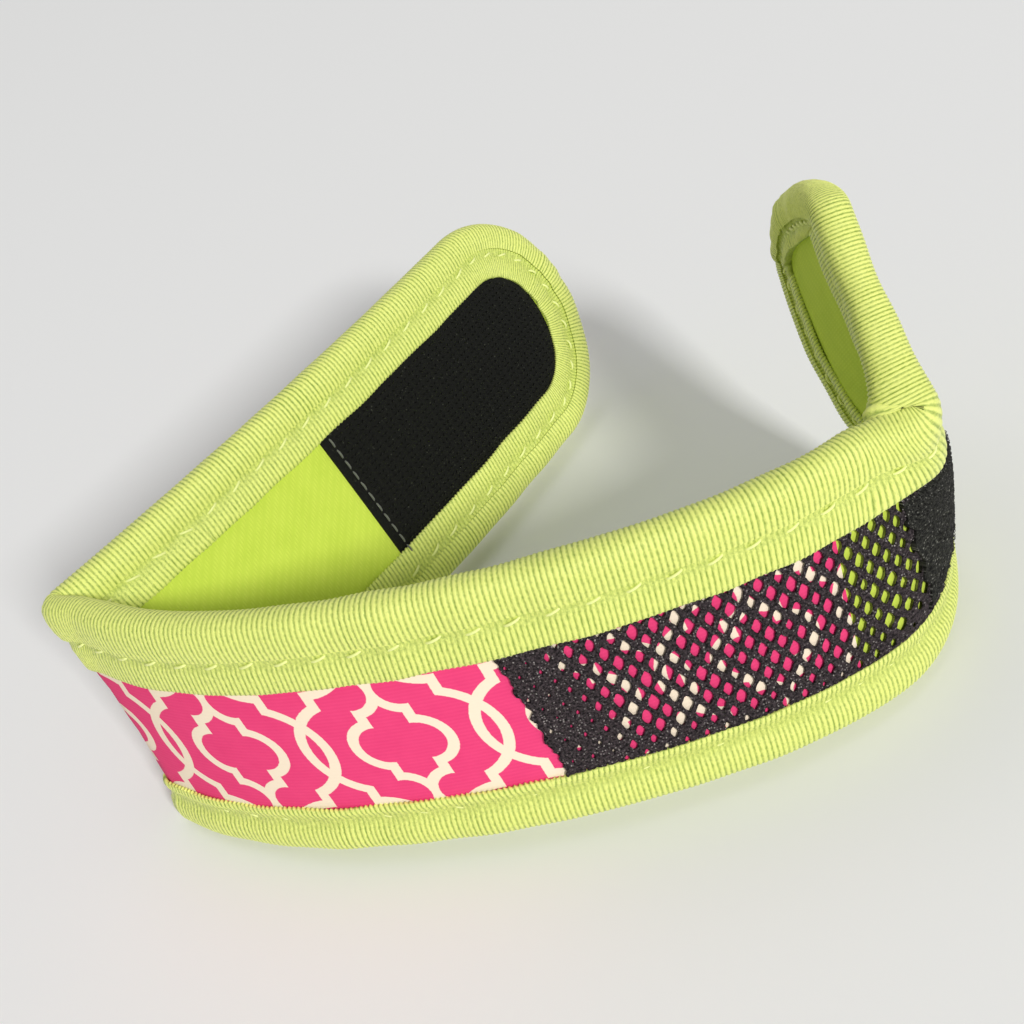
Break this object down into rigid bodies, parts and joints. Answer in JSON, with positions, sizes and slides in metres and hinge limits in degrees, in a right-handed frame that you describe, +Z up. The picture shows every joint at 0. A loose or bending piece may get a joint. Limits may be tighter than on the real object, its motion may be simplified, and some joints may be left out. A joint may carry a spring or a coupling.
{
  "type": "wrap wristband",
  "caption": "Open padded wrap wristband: soft foam strip with bound edges, printed and mesh outer panels, hook tab and loop panel, standing on its edge.",
  "frame": {"origin": "on the floor under the middle of the part's box, as it stands open on its lower long edge", "axes": "+Z up, across the strip; +X along the front section, from the hook tab's end to the loop end; +Y from the front section towards the wearer"},
  "size_m": [0.1242, 0.1036, 0.0597],
  "materials": {
    "foam": "closed-cell neoprene foam, matt",
    "jersey": "lime polyester jersey laminated on foam, matt with a slight sheen",
    "print": "smooth printed knit, hot pink with a cream trellis",
    "mesh_knit": "open diamond mesh knit, black",
    "loop_fabric": "brushed loop pile, black",
    "hook_tape": "woven hook tape with short nylon hooks, black",
    "binding_tape": "ribbed lime binding tape, satin",
    "thread": "pale spun polyester thread"
  },
  "bodies": {
    "front_section": {"front_binding_lower": "binding_tape", "front_binding_upper": "binding_tape", "front_facing": "jersey", "front_foam_core": "foam", "front_inner_seam_lower": "thread", "front_inner_seam_upper": "thread", "front_lining": "jersey", "front_loop_panel": "loop_fabric", "front_outer_seam_lower": "thread", "front_outer_seam_upper": "thread", "front_print_panel": "print", "left_fold_core": "foam", "mesh_overlay": "mesh_knit", "right_fold_core": "foam"},
    "left_wing": {"left_binding_lower": "binding_tape", "left_binding_upper": "binding_tape", "left_facing": "jersey", "left_foam_core": "foam", "left_inner_seam_lower": "thread", "left_inner_seam_upper": "thread", "left_lining": "jersey", "left_outer_seam_lower": "thread", "left_outer_seam_upper": "thread", "left_print_panel": "print", "tab_fold_core": "foam"},
    "hook_tab": {"hook_patch": "hook_tape", "hook_patch_seam": "thread", "tab_binding": "binding_tape", "tab_facing": "jersey", "tab_foam_core": "foam", "tab_inner_seam": "thread", "tab_lining": "jersey", "tab_outer_seam": "thread", "tab_print_panel": "print"},
    "right_wing": {"right_binding": "binding_tape", "right_facing": "jersey", "right_foam_core": "foam", "right_inner_seam": "thread", "right_lining": "jersey", "right_loop_panel": "loop_fabric", "right_outer_seam": "thread"}
  },
  "joints": [
    {"name": "left_fold", "type": "hinge", "parent": "front_section", "child": "left_wing", "pos_m": [-0.05589, -0.02929, 0.02], "axis": [0, 0, -1], "range_deg": [-98, 15]},
    {"name": "hook_tab_curl", "type": "hinge", "parent": "left_wing", "child": "hook_tab", "pos_m": [-0.02476, 0.00235, 0.02159], "axis": [0.2686, -0.2253, -0.9365], "range_deg": [-45, 20]},
    {"name": "right_fold", "type": "hinge", "parent": "front_section", "child": "right_wing", "pos_m": [0.0559, -0.02658, 0.02], "axis": [0, 0, 1], "range_deg": [-56, 78]}
  ]
}
